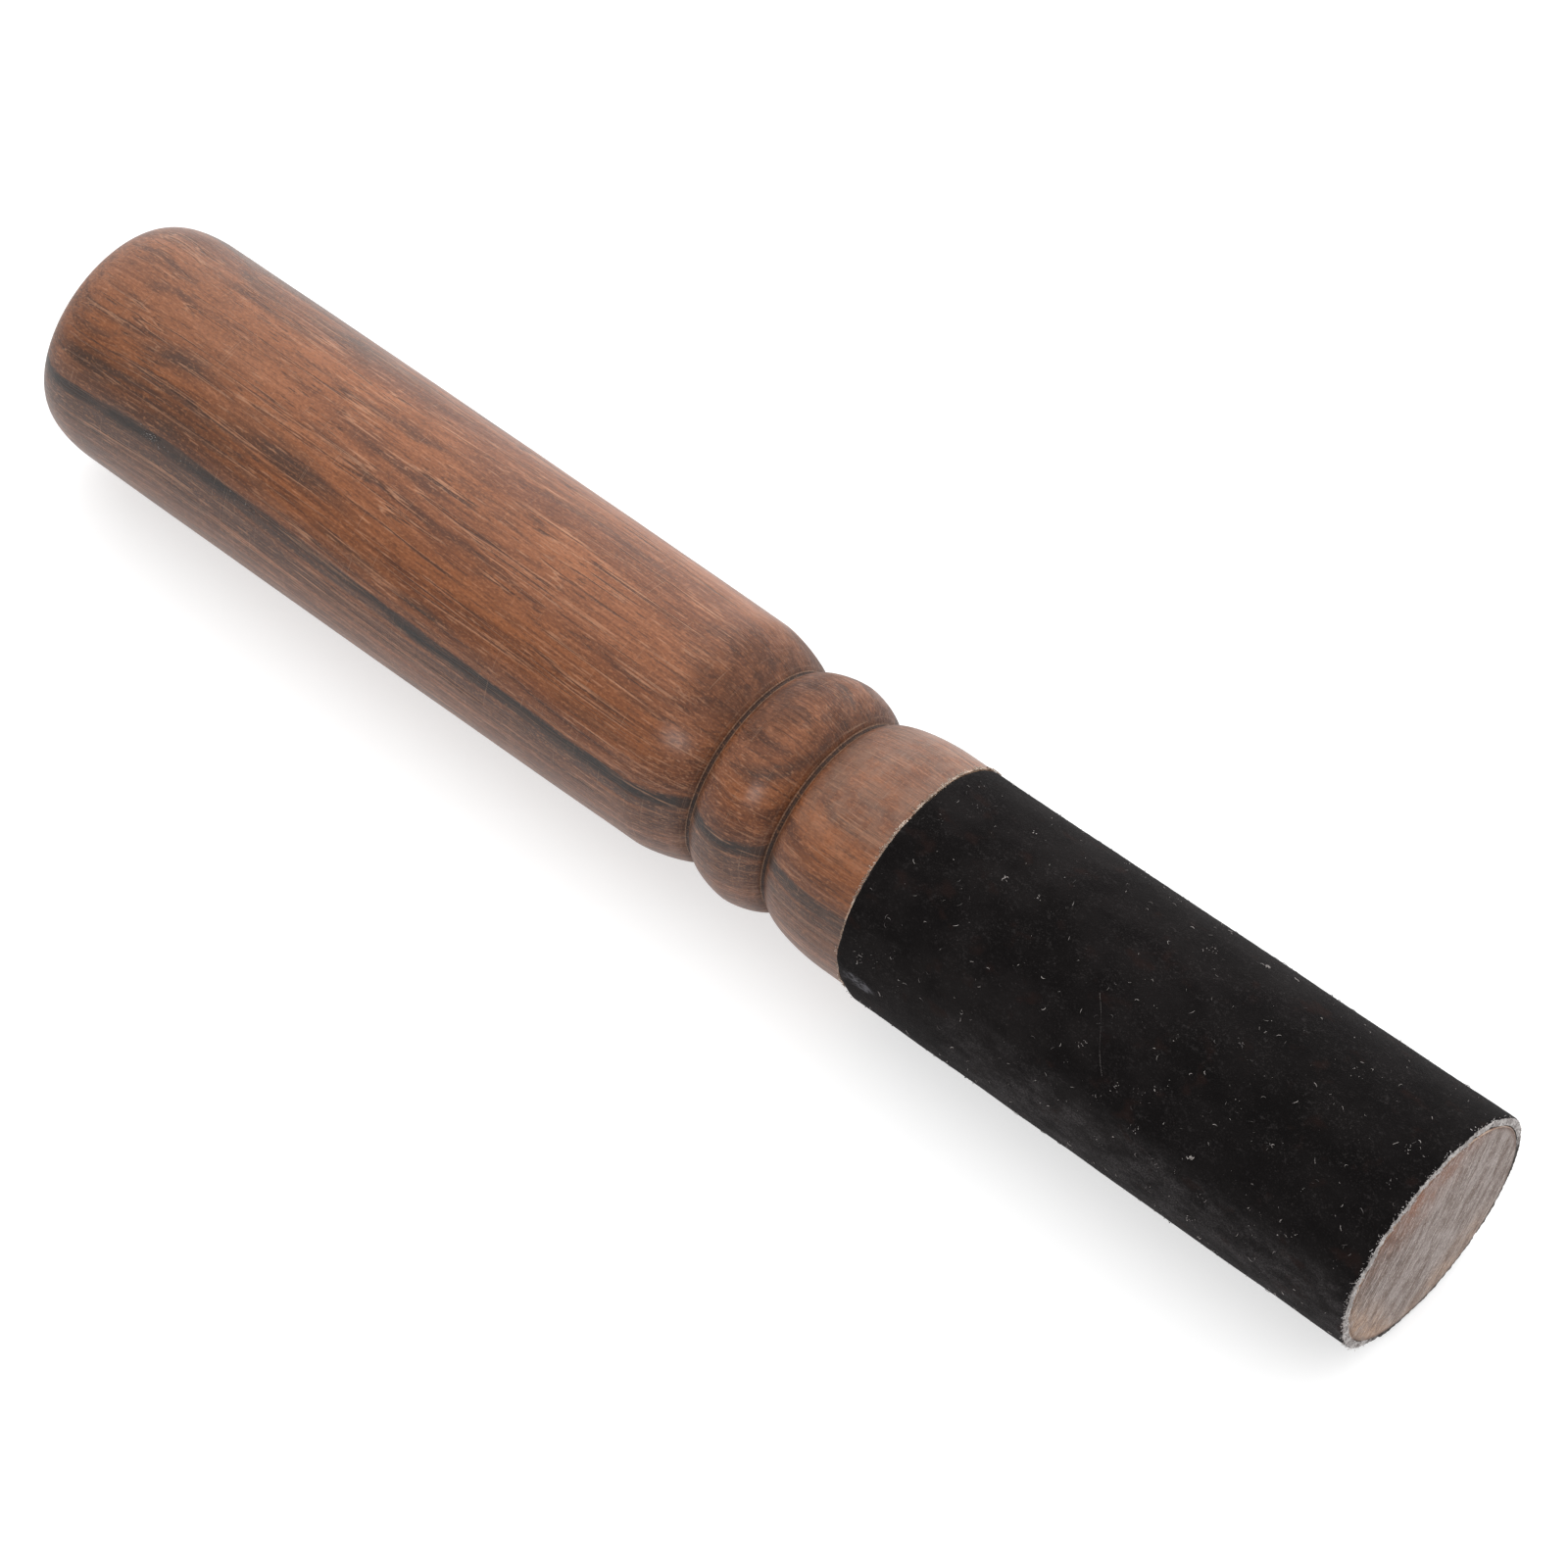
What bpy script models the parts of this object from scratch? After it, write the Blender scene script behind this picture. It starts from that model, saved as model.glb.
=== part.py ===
"""A wooden singing-bowl mallet: a one-piece turned stick with a glued suede wrap.

Metres, +Z up.  The mallet lies on the plane z = 0 with its axis along X and its
suede-wrapped striking end towards +X.  The origin is on that plane, under the
middle of the mallet's length.

Every piece is turned about one axis, so each outline is a list of (x, r) points:
x along the mallet from its middle, r out from its axis.
"""

import math

import bmesh
import bpy

# Driving dimensions
OVERALL_LENGTH = 0.1950
HANDLE_RADIUS = 0.0151
HANDLE_END_RADIUS = 0.01505
SHOULDER_RADIUS = 0.01485
BEAD_RADIUS = 0.01437
COLLAR_RADIUS = 0.01441
CORE_RADIUS = 0.0136
WRAP_RADIUS = 0.0150

# Rounded handle end: a quarter ellipse, then a faint crown over the face
ROUND_OVER_LENGTH = 0.0070
ROUND_OVER_DEPTH = 0.0025
CROWN_HEIGHT = 0.0004

# Grooves either side of the bead, measured along the mallet from its middle
FIRST_GROOVE = 0.0037
SECOND_GROOVE = 0.0144
FIRST_GROOVE_RADIUS = 0.01250
SECOND_GROOVE_RADIUS = 0.01210
GROOVE_FLOOR = 0.0006
SHOULDER_LENGTH = 0.0071
COLLAR_ROUND_LENGTH = 0.0088

# Suede wrap and the glue under it, in a shallow rebate
REBATE_START = 0.0270
WRAP_THICKNESS = 0.0010
GLUE_THICKNESS = 0.0002
LAYER_GAP = 0.0001
REBATE_GAP = 0.0003
WRAP_EDGE_ROUND = 0.0003

# How finely round stretches are divided
FACETS_AROUND = 48
SHOULDER_STEPS = 8
HANDLE_STEPS = 6
EDGE_STEPS = 3
MERGE_DISTANCE = 0.00001
SMOOTH_ANGLE = math.radians(40)

HALF_LENGTH = OVERALL_LENGTH / 2
# One facet faces down, so the axis is this high when the mallet lies on it
AXIS_HEIGHT = HANDLE_RADIUS * math.cos(math.pi / FACETS_AROUND)


def clear_scene():
    for old in list(bpy.data.objects):
        bpy.data.objects.remove(old, do_unlink=True)


def make_collection(name):
    collection = bpy.data.collections.new(name)
    bpy.context.scene.collection.children.link(collection)
    return collection


def make_material(name, colour, roughness, metallic=0.0):
    material = bpy.data.materials.new(name)
    material.use_nodes = True
    shader = material.node_tree.nodes["Principled BSDF"]
    shader.inputs["Base Color"].default_value = (*colour, 1.0)
    shader.inputs["Roughness"].default_value = roughness
    shader.inputs["Metallic"].default_value = metallic
    return material


def rounded_fall(x_high, r_high, x_low, r_low, fullness, steps):
    """Points from a crest, where the curve is level, down to where it is steepest.

    A fullness of 2 is a quarter ellipse; a smaller one is closer to a plain bevel.
    """
    points = []
    for i in range(steps + 1):
        across = math.sin(0.5 * math.pi * i / steps)
        height = (1.0 - across ** fullness) ** (1.0 / fullness)
        x = x_high + (x_low - x_high) * across
        points.append((x, r_low + (r_high - r_low) * height))
    return points


def handle_end_outline():
    """The crowned face and the round-over, from the axis out to the handle."""
    face_radius = HANDLE_END_RADIUS - ROUND_OVER_DEPTH
    face_x = -HALF_LENGTH + CROWN_HEIGHT
    crown = []
    for i in range(EDGE_STEPS):
        share = i / EDGE_STEPS
        crown.append((face_x - CROWN_HEIGHT * (1.0 - share ** 2), face_radius * share))
    round_over = rounded_fall(face_x + ROUND_OVER_LENGTH, HANDLE_END_RADIUS,
                              face_x, face_radius, 2.0, SHOULDER_STEPS)
    return crown + round_over[::-1]


def handle_outline():
    """The grip: barely swollen in the middle, a little thinner at the shoulder."""
    start = -HALF_LENGTH + CROWN_HEIGHT + ROUND_OVER_LENGTH
    end = FIRST_GROOVE - GROOVE_FLOOR / 2 - SHOULDER_LENGTH
    points = []
    for i in range(1, HANDLE_STEPS):
        share = i / HANDLE_STEPS
        straight = HANDLE_END_RADIUS + (SHOULDER_RADIUS - HANDLE_END_RADIUS) * share
        middle = (HANDLE_END_RADIUS + SHOULDER_RADIUS) / 2
        swell = (HANDLE_RADIUS - middle) * 4.0 * share * (1.0 - share)
        points.append((start + (end - start) * share, straight + swell))
    return points


def grooves_outline():
    """The handle's shoulder, the first groove, the bead, the second groove, the collar."""
    half_floor = GROOVE_FLOOR / 2
    bead_middle = (FIRST_GROOVE + SECOND_GROOVE) / 2
    shoulder = rounded_fall(FIRST_GROOVE - half_floor - SHOULDER_LENGTH, SHOULDER_RADIUS,
                            FIRST_GROOVE - half_floor, FIRST_GROOVE_RADIUS, 1.4, SHOULDER_STEPS)
    bead_rise = rounded_fall(bead_middle, BEAD_RADIUS,
                             FIRST_GROOVE + half_floor, FIRST_GROOVE_RADIUS, 1.6, SHOULDER_STEPS)
    bead_fall = rounded_fall(bead_middle, BEAD_RADIUS,
                             SECOND_GROOVE - half_floor, SECOND_GROOVE_RADIUS, 1.6, SHOULDER_STEPS)
    collar_rise = rounded_fall(SECOND_GROOVE + half_floor + COLLAR_ROUND_LENGTH, COLLAR_RADIUS,
                               SECOND_GROOVE + half_floor, SECOND_GROOVE_RADIUS, 1.8, SHOULDER_STEPS)
    return shoulder + bead_rise[::-1] + bead_fall[1:] + collar_rise[::-1]


def core_outline():
    """The rebate that takes the wrap, and the flat striking face."""
    return [
        (REBATE_START, COLLAR_RADIUS),
        (REBATE_START, CORE_RADIUS),
        (HALF_LENGTH, CORE_RADIUS),
        (HALF_LENGTH, 0.0),
    ]


def sleeve_outline(start, end, inner_radius, outer_radius, edge_round):
    """The closed section of a sleeve, its outer corners rounded."""
    section = [(start, inner_radius)]
    if edge_round > 0.0:
        section += rounded_fall(start + edge_round, outer_radius,
                                start, outer_radius - edge_round, 2.0, EDGE_STEPS)[::-1]
        section += rounded_fall(end - edge_round, outer_radius,
                                end, outer_radius - edge_round, 2.0, EDGE_STEPS)
    else:
        section += [(start, outer_radius), (end, outer_radius)]
    section.append((end, inner_radius))
    return section


def turned_piece(name, outline, closed, material, axis, collection):
    """Turn an (x, r) outline about the mallet's axis with a Screw modifier.

    The axis empty's Z runs along the mallet, so the outline is drawn in its XZ plane,
    from its top (the striking end) to its bottom, which makes the faces point outwards.
    """
    mesh = bpy.data.meshes.new(name)
    drawing = bmesh.new()
    points = [drawing.verts.new((r, 0.0, x)) for x, r in reversed(outline)]
    for first, second in zip(points, points[1:]):
        drawing.edges.new((first, second))
    if closed:
        drawing.edges.new((points[-1], points[0]))
    drawing.to_mesh(mesh)
    drawing.free()

    piece = bpy.data.objects.new(name, mesh)
    collection.objects.link(piece)
    piece.parent = axis
    # Half a facet of turn, so that a flat of the faceted solid faces down
    piece.rotation_euler = (0.0, 0.0, math.pi / FACETS_AROUND)

    screw = piece.modifiers.new("Turn", "SCREW")
    screw.axis = "Z"
    screw.angle = 2.0 * math.pi
    screw.steps = FACETS_AROUND
    screw.render_steps = FACETS_AROUND
    screw.use_merge_vertices = True
    screw.merge_threshold = MERGE_DISTANCE
    mesh.materials.append(material)
    mesh.shade_smooth()
    mesh.set_sharp_from_angle(angle=SMOOTH_ANGLE)
    return piece


def make_turned_body(axis, collection):
    """Handle, bead, collar and core, turned from one length of hardwood."""
    wood = make_material("oiled_hardwood", (0.235, 0.105, 0.055), 0.42)
    outline = handle_end_outline() + handle_outline() + grooves_outline() + core_outline()
    return turned_piece("turned_body", outline, False, wood, axis, collection)


def make_glue_film(axis, collection):
    """The film of glue that holds the suede to the core."""
    glue = make_material("dried_glue", (0.060, 0.032, 0.016), 0.35)
    inner = CORE_RADIUS + LAYER_GAP
    outline = sleeve_outline(REBATE_START + REBATE_GAP, HALF_LENGTH, inner, inner + GLUE_THICKNESS, 0.0)
    return turned_piece("glue_film", outline, True, glue, axis, collection)


def make_suede_wrap(axis, collection):
    """The strip of suede, wrapped once round the core with its ends butted."""
    suede = make_material("black_suede", (0.010, 0.009, 0.009), 0.95)
    outline = sleeve_outline(REBATE_START + REBATE_GAP, HALF_LENGTH,
                             WRAP_RADIUS - WRAP_THICKNESS, WRAP_RADIUS, WRAP_EDGE_ROUND)
    return turned_piece("suede_wrap", outline, True, suede, axis, collection)


def main():
    clear_scene()
    collection = make_collection("singing_bowl_mallet")
    axis = bpy.data.objects.new("mallet_axis", None)
    axis.location = (0.0, 0.0, AXIS_HEIGHT)
    axis.rotation_euler = (0.0, math.pi / 2, 0.0)
    collection.objects.link(axis)
    make_turned_body(axis, collection)
    make_glue_film(axis, collection)
    make_suede_wrap(axis, collection)


main()
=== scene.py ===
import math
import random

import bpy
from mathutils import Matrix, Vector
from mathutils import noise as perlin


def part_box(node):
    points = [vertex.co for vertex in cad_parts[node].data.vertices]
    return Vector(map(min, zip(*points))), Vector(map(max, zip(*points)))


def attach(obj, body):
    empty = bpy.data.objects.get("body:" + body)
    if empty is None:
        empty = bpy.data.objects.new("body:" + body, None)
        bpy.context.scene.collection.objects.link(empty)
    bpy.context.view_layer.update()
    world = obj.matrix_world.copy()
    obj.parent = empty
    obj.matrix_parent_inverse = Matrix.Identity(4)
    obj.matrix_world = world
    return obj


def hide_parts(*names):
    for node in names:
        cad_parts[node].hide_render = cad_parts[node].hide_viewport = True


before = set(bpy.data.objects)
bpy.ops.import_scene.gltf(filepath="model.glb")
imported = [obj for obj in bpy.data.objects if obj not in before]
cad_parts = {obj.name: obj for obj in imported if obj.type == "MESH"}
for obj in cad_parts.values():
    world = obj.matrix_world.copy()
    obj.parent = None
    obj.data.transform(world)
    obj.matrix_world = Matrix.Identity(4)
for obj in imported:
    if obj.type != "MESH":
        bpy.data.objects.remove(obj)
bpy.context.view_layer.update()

# Looks of the singing-bowl mallet: the turned stick, its glued suede wrap, the fuzz of the
# cut edges and the lint on the nap.  Metres, in the CAD frame: the mallet lies along X on
# z = 0, suede end towards +X.  Angles round the mallet are counted from straight up,
# towards -Y, the side that the camera stands on.  The shaders work in millimetres.

MM = 0.001

# Places, from the frame
BODY_LOW, BODY_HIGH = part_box("turned_body")
WRAP_LOW, WRAP_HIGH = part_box("suede_wrap")
AXIS_Z = (BODY_LOW.z + BODY_HIGH.z) / 2
HANDLE_TIP = BODY_LOW.x
STRIKING_END = BODY_HIGH.x
WRAP_START = WRAP_LOW.x
WRAP_RADIUS = (WRAP_HIGH.z - WRAP_LOW.z) / 2

# The turned outline, as in part.py
HANDLE_RADIUS = 15.1 * MM
HANDLE_END_RADIUS = 15.05 * MM
SHOULDER_RADIUS = 14.85 * MM
BEAD_RADIUS = 14.37 * MM
COLLAR_RADIUS = 14.41 * MM
CORE_RADIUS = 13.6 * MM
ROUND_OVER_LENGTH = 7.0 * MM
ROUND_OVER_DEPTH = 2.5 * MM
CROWN_HEIGHT = 0.4 * MM
FIRST_GROOVE = 3.7 * MM
SECOND_GROOVE = 14.4 * MM
FIRST_GROOVE_RADIUS = 12.5 * MM
SECOND_GROOVE_RADIUS = 12.1 * MM
GROOVE_FLOOR = 0.6 * MM
SHOULDER_LENGTH = 7.1 * MM
COLLAR_ROUND_LENGTH = 8.8 * MM

# The collar runs on until it all but meets the suede
COLLAR_END = WRAP_START - 0.05 * MM

# The camera faces the side of the mallet at this angle from straight up
FACING = math.radians(29.4)
LOW_SIDE = FACING + math.radians(90)
FULL_TURN = 2.0 * math.pi


def direction(angle):
    """The unit vector out from the axis at an angle round the mallet."""
    return Vector((0.0, -math.sin(angle), math.cos(angle)))


def smoothstep(low, high, value):
    share = min(max((value - low) / (high - low), 0.0), 1.0)
    return share * share * (3.0 - 2.0 * share)


# ---------------------------------------------------------------- shader graphs

class Graph:
    """Adds shader nodes to a material's Principled BSDF and joins them up."""

    def __init__(self, name):
        self.material = bpy.data.materials.new(name)
        self.material.use_nodes = True
        self.tree = self.material.node_tree
        self.shader = self.tree.nodes["Principled BSDF"]

    def add(self, kind, inputs=(), output=0, **settings):
        node = self.tree.nodes.new("ShaderNode" + kind)
        for name, value in settings.items():
            setattr(node, name, value)
        for name, value in dict(inputs).items():
            self.join(value, node.inputs[name])
        return node.outputs[output]

    def join(self, value, socket):
        """Links another node's socket to a socket, or sets a plain value on it."""
        if isinstance(value, bpy.types.NodeSocket):
            self.tree.links.new(value, socket)
        else:
            socket.default_value = value

    def set(self, **inputs):
        for name, value in inputs.items():
            self.join(value, self.shader.inputs[name.replace("_", " ")])

    def math(self, operation, first, second=0.0):
        return self.add("Math", {0: first, 1: second}, operation=operation)

    def times(self, first, second):
        return self.math("MULTIPLY", first, second)

    def plus(self, first, second):
        return self.math("ADD", first, second)

    def minus(self, first, second):
        return self.math("SUBTRACT", first, second)

    def larger(self, first, second):
        return self.math("MAXIMUM", first, second)

    def distance(self, first, second):
        """The length of a vector with these two parts."""
        return self.math("SQRT", self.plus(self.times(first, first), self.times(second, second)))

    def gap(self, value, centre):
        """How far a value is from a centre, on either side."""
        return self.math("ABSOLUTE", self.minus(value, centre))

    def place(self):
        """The point in millimetres, measured from the mallet's axis."""
        spot = self.add("TexCoord", output="Object")
        moved = self.add("VectorMath", {0: spot, 1: (0.0, 0.0, AXIS_Z)}, operation="SUBTRACT")
        return self.add("VectorMath", {0: moved, "Scale": 1.0 / MM}, operation="SCALE")

    def parts(self, vector):
        split = self.add("SeparateXYZ", {0: vector}).node
        return split.outputs[0], split.outputs[1], split.outputs[2]

    def vector(self, x, y, z):
        return self.add("CombineXYZ", {0: x, 1: y, 2: z})

    def stretched(self, vector, x, y, z):
        """Scales a place in mm by the reciprocals of the sizes given, for a texture lookup."""
        return self.add("VectorMath", {0: vector, 1: (1.0 / x, 1.0 / y, 1.0 / z)}, operation="MULTIPLY")

    def noise(self, vector, detail, roughness):
        inputs = {"Vector": vector, "Scale": 1.0, "Detail": detail, "Roughness": roughness}
        return self.add("TexNoise", inputs)

    def cells(self, vector):
        return self.add("TexVoronoi", {"Vector": vector, "Scale": 1.0}, output="Distance")

    def ramp(self, value, low, high, to_low=0.0, to_high=1.0):
        """A smooth step from to_low to to_high as value goes from low to high."""
        inputs = {"Value": value, "From Min": low, "From Max": high, "To Min": to_low, "To Max": to_high}
        return self.add("MapRange", inputs, interpolation_type="SMOOTHSTEP")

    def mix(self, share, first, second):
        """A blend of two colours; a colour given as numbers is (red, green, blue, 1)."""
        node = self.add("Mix", {}, output="Result", data_type="RGBA").node
        self.join(share, node.inputs[0])
        self.join(first, node.inputs[6])
        self.join(second, node.inputs[7])
        return node.outputs[2]

    def bump(self, height, strength, distance):
        return self.add("Bump", {"Height": height, "Strength": strength, "Distance": distance})

    def facing(self, y, z):
        """(towards, across): how far a point lies on the facing side, and upwards across it."""
        cosine, sine = math.cos(FACING), math.sin(FACING)
        towards = self.minus(self.times(z, cosine), self.times(y, sine))
        return towards, self.plus(self.times(y, cosine), self.times(z, sine))


# ------------------------------------------------------------------- materials

# Growth layers lie nearly level across the stick; heights are mm above its axis
RING_CENTRE_BELOW = 80.0
STREAK_LAYER = 7.0
WAVE_LENGTH = 152.0
# Dark patches: place along the stick, layer, half length, half thickness (mm), depth
DARK_PATCHES = (
    (-84.0, 9.3, 24.0, 2.4, 0.42),
    (-90.0, 10.2, 5.0, 1.1, 0.75),
    (-62.0, 11.8, 13.0, 1.3, 0.75),
    (-47.0, 9.4, 7.0, 0.55, 0.70),
    (-36.0, 9.2, 7.0, 0.50, 0.95),
    (-79.0, 12.6, 6.0, 0.8, 0.50),
    (11.0, 13.4, 3.6, 0.55, 0.85),
    (21.0, 13.2, 5.0, 0.32, 0.60),
    (-12.0, 10.4, 9.0, 0.35, 0.45),
)


def grain_height(g, place):
    """How high in the growth layers a point is: level planes, bent by rings and by waves."""
    x, y, z = g.parts(place)
    raised = g.plus(z, RING_CENTRE_BELOW)
    ring = g.distance(raised, y)
    level = g.minus(ring, RING_CENTRE_BELOW)
    turn = g.times(g.plus(x, 80.0), FULL_TURN / WAVE_LENGTH)
    wave = g.plus(g.times(g.math("COSINE", turn), 0.90), g.ramp(x, -97.0, -74.0, -1.0, 0.0))
    wander = g.noise(g.stretched(place, 34.0, 14.0, 14.0), 2.0, 0.5)
    wander = g.times(g.minus(wander, 0.5), 1.0)
    return g.minus(g.minus(level, wave), wander)


def ridge(g, value, level, width):
    """A thin line where a stretched noise crosses a level."""
    return g.ramp(g.gap(value, level), width, 0.0)


def wood_parts(g):
    """Colour, relief, roughness and wax coat of the turned surface, whose grain runs along X."""
    place = g.place()
    x, y, z = g.parts(place)
    layer = grain_height(g, place)
    grain = g.vector(x, y, layer)

    bands = g.noise(g.stretched(grain, 60.0, 14.0, 3.4), 3.0, 0.55)
    lines = g.noise(g.stretched(grain, 30.0, 2.6, 0.75), 4.0, 0.62)
    fibres = g.noise(g.stretched(grain, 5.5, 0.40, 0.30), 3.0, 0.65)
    speckle = g.noise(g.stretched(place, 0.50, 0.20, 0.20), 2.0, 0.6)
    blotch = g.noise(g.stretched(place, 1.6, 2.6, 2.6), 3.0, 0.6)

    colour = g.mix(g.ramp(bands, 0.36, 0.64), (0.124, 0.035, 0.0105, 1), (0.242, 0.077, 0.0235, 1))
    # Painted shade: the lower part of the stick is darkened, fading in from 6 mm above the streak's layer
    # to full strength 1 mm below it
    lower = g.ramp(layer, STREAK_LAYER - 1.0, STREAK_LAYER + 6.0, 0.42, 0.0)
    colour = g.mix(lower, colour, (0.070, 0.026, 0.012, 1))
    under = g.ramp(layer, STREAK_LAYER - 1.0, STREAK_LAYER + 2.0, 0.35, 0.0)
    colour = g.mix(under, colour, (0.110, 0.048, 0.029, 1))
    colour = g.mix(g.ramp(lines, 0.50, 0.68, 0.0, 0.80), colour, (0.066, 0.019, 0.0065, 1))
    colour = g.mix(g.ramp(lines, 0.46, 0.28, 0.0, 0.60), colour, (0.310, 0.112, 0.046, 1))
    collar = g.ramp(x, 14.0, 17.0)
    dashes = g.times(g.ramp(fibres, 0.50, 0.72, 0.0, 0.56), g.minus(1.0, g.times(collar, 0.45)))
    colour = g.mix(dashes, colour, (0.056, 0.016, 0.0055, 1))
    colour = g.mix(g.ramp(fibres, 0.47, 0.28, 0.0, 0.50), colour, (0.350, 0.135, 0.058, 1))
    # The lower layers are more strongly striped, dark and pale
    striped = g.ramp(layer, STREAK_LAYER + 3.5, STREAK_LAYER - 0.5)
    stripes = g.noise(g.stretched(grain, 26.0, 1.5, 0.55), 3.0, 0.6)
    dark_stripe = g.times(g.ramp(stripes, 0.50, 0.66, 0.0, 0.62), striped)
    pale_stripe = g.times(g.ramp(stripes, 0.47, 0.32, 0.0, 0.45), striped)
    colour = g.mix(dark_stripe, colour, (0.048, 0.022, 0.014, 1))
    colour = g.mix(pale_stripe, colour, (0.330, 0.175, 0.115, 1))

    # The near-black streak: a sharp upper edge, fading slowly into the layers below it
    ragged = g.plus(layer, g.times(g.minus(fibres, 0.5), 1.1))
    above = g.ramp(ragged, STREAK_LAYER + 0.45, STREAK_LAYER + 0.05)
    core = g.ramp(ragged, STREAK_LAYER - 1.7, STREAK_LAYER - 0.5)
    tail = g.ramp(ragged, STREAK_LAYER - 8.0, STREAK_LAYER - 0.6)
    along = g.noise(g.stretched(grain, 16.0, 40.0, 1.2), 2.0, 0.5)
    strength = g.ramp(x, 2.0, 26.0, 1.0, 0.55)
    broken = g.ramp(along, 0.34, 0.54, 0.50, 1.0)
    broken = g.larger(broken, g.ramp(g.gap(x, -75.0), 14.0, 9.0))
    broken = g.times(broken, g.ramp(g.gap(x, -54.0), 5.0, 13.0, 0.55, 1.0))
    fades = g.ramp(x, 26.0, 40.0, 1.0, 0.0)
    ink = g.times(g.times(above, core), g.times(broken, strength))
    ink = g.times(ink, fades)
    smoke = g.times(g.times(above, tail), g.ramp(lines, 0.34, 0.60, 0.15, 0.85))
    smoke = g.times(smoke, fades)
    colour = g.mix(smoke, colour, (0.048, 0.028, 0.022, 1))
    colour = g.mix(ink, colour, (0.010, 0.008, 0.007, 1))

    # Shorter dark patches in higher layers
    for where, height, reach, width, depth in DARK_PATCHES:
        across = g.math("DIVIDE", g.minus(ragged, height), width)
        away = g.math("DIVIDE", g.minus(x, where), reach)
        spread = g.plus(g.times(across, across), g.times(away, away))
        patch = g.times(g.ramp(spread, 1.0, 0.0, 0.0, depth), g.ramp(lines, 0.36, 0.56, 0.35, 1.0))
        colour = g.mix(patch, colour, (0.032, 0.019, 0.014, 1))

    # Grey-brown smudges towards the rounded end
    smudge = g.noise(g.stretched(grain, 9.0, 6.0, 1.1), 3.0, 0.6)
    handle_part = g.times(g.ramp(x, -42.0, -72.0), g.ramp(layer, 15.5, 11.0))
    smudge = g.times(g.ramp(smudge, 0.50, 0.66, 0.0, 0.65), handle_part)
    colour = g.mix(smudge, colour, (0.055, 0.030, 0.021, 1))

    # Long pore lines: a pale, dust-filled side and a dark side
    threads = g.noise(g.stretched(grain, 240.0, 1.25, 0.95), 2.0, 0.5)
    shown = g.ramp(g.noise(g.stretched(grain, 15.0, 2.0, 1.2), 2.0, 0.5), 0.42, 0.54)
    beads = g.times(g.ramp(x, -8.0, -3.0), g.ramp(x, 22.0, 18.0))
    shown = g.times(shown, g.minus(1.0, beads))
    calm = g.ramp(x, -5.0, 0.0, 1.0, 0.38)
    body = g.ramp(x, HANDLE_TIP / MM + 1.2, HANDLE_TIP / MM + 4.5)
    shown = g.times(shown, body)
    pale_line = g.times(ridge(g, threads, 0.500, 0.020), shown)
    dark_line = g.times(ridge(g, threads, 0.466, 0.022), shown)
    second = g.noise(g.stretched(grain, 150.0, 1.2, 0.80), 1.0, 0.5)
    often = g.times(g.ramp(g.noise(g.stretched(grain, 8.0, 2.0, 1.0), 1.0, 0.5), 0.48, 0.60), body)
    fine_pale = g.times(ridge(g, second, 0.44, 0.012), often)
    fine_dark = g.times(ridge(g, second, 0.56, 0.014), often)

    # Open pores, cut along their length: short dark dashes, some filled and pale
    pores = g.cells(g.stretched(grain, 4.5, 0.45, 0.45))
    pore = g.ramp(pores, 0.26, 0.10)
    patchy = g.ramp(g.noise(g.stretched(grain, 20.0, 5.0, 2.0), 1.0, 0.5), 0.40, 0.62)
    pore = g.times(pore, patchy)
    offset = g.add("VectorMath", {0: grain, 1: (31.0, 7.0, 3.0)}, operation="ADD")
    filled = g.ramp(g.cells(g.stretched(offset, 5.5, 0.50, 0.50)), 0.24, 0.09)
    dark = g.larger(g.times(pore, 0.80), g.larger(dark_line, g.times(fine_dark, 0.7)))
    pale = g.larger(g.times(filled, 0.45), g.larger(g.times(pale_line, 0.62), g.times(fine_pale, 0.45)))
    pale = g.times(pale, g.minus(1.0, g.times(ink, 0.8)))
    pale = g.times(pale, g.ramp(x, 12.0, 16.0, 1.0, 0.35))
    dark = g.times(dark, calm)
    # On the bead and the collar they show as straight strokes along the stick
    out = g.distance(y, z)
    around = g.times(g.math("DIVIDE", y, out), 14.0)
    rolled = g.vector(x, around, g.times(g.math("DIVIDE", z, out), 14.0))
    strokes = g.noise(g.stretched(rolled, 6.5, 0.36, 0.36), 3.0, 0.62)
    turned = g.ramp(x, -9.0, -2.0)
    pale = g.larger(pale, g.times(g.ramp(strokes, 0.57, 0.70, 0.0, 0.50), turned))
    dark = g.larger(dark, g.times(g.ramp(strokes, 0.45, 0.32, 0.0, 0.70), turned))
    colour = g.mix(g.times(dark, 0.80), colour, (0.036, 0.012, 0.005, 1))
    colour = g.mix(pale, colour, (0.430, 0.215, 0.120, 1))

    # Friction-browned wood beside the grooves, most of it on the upper side; the groove floors get painted
    # shade
    upper = g.ramp(g.plus(y, g.times(z, 0.6)), -6.0, 9.0)
    burnt = None
    painted_groove_shade = None
    for groove, reach, gain in ((FIRST_GROOVE / MM, 11.5, 1.0), (SECOND_GROOVE / MM, 6.5, 0.95)):
        away = g.gap(x, groove)
        far = g.times(g.ramp(away, reach, 0.10 * reach, 0.0, gain), g.ramp(upper, 0.0, 1.0, 0.15, 1.0))
        near = g.larger(far, g.ramp(away, 2.6, 0.3, 0.0, 0.70))
        burnt = near if burnt is None else g.larger(burnt, near)
        painted_floor_shade = g.ramp(away, 0.42, 0.12)
        painted_groove_shade = painted_floor_shade if painted_groove_shade is None else g.larger(painted_groove_shade, painted_floor_shade)
    burnt = g.times(burnt, g.ramp(blotch, 0.34, 0.62, 0.62, 1.0))
    colour = g.mix(g.times(burnt, 0.80), colour, (0.040, 0.014, 0.007, 1))
    # Painted shade: the floors of the grooves are darkened almost to black
    colour = g.mix(g.times(painted_groove_shade, 0.85), colour, (0.014, 0.007, 0.005, 1))

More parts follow.
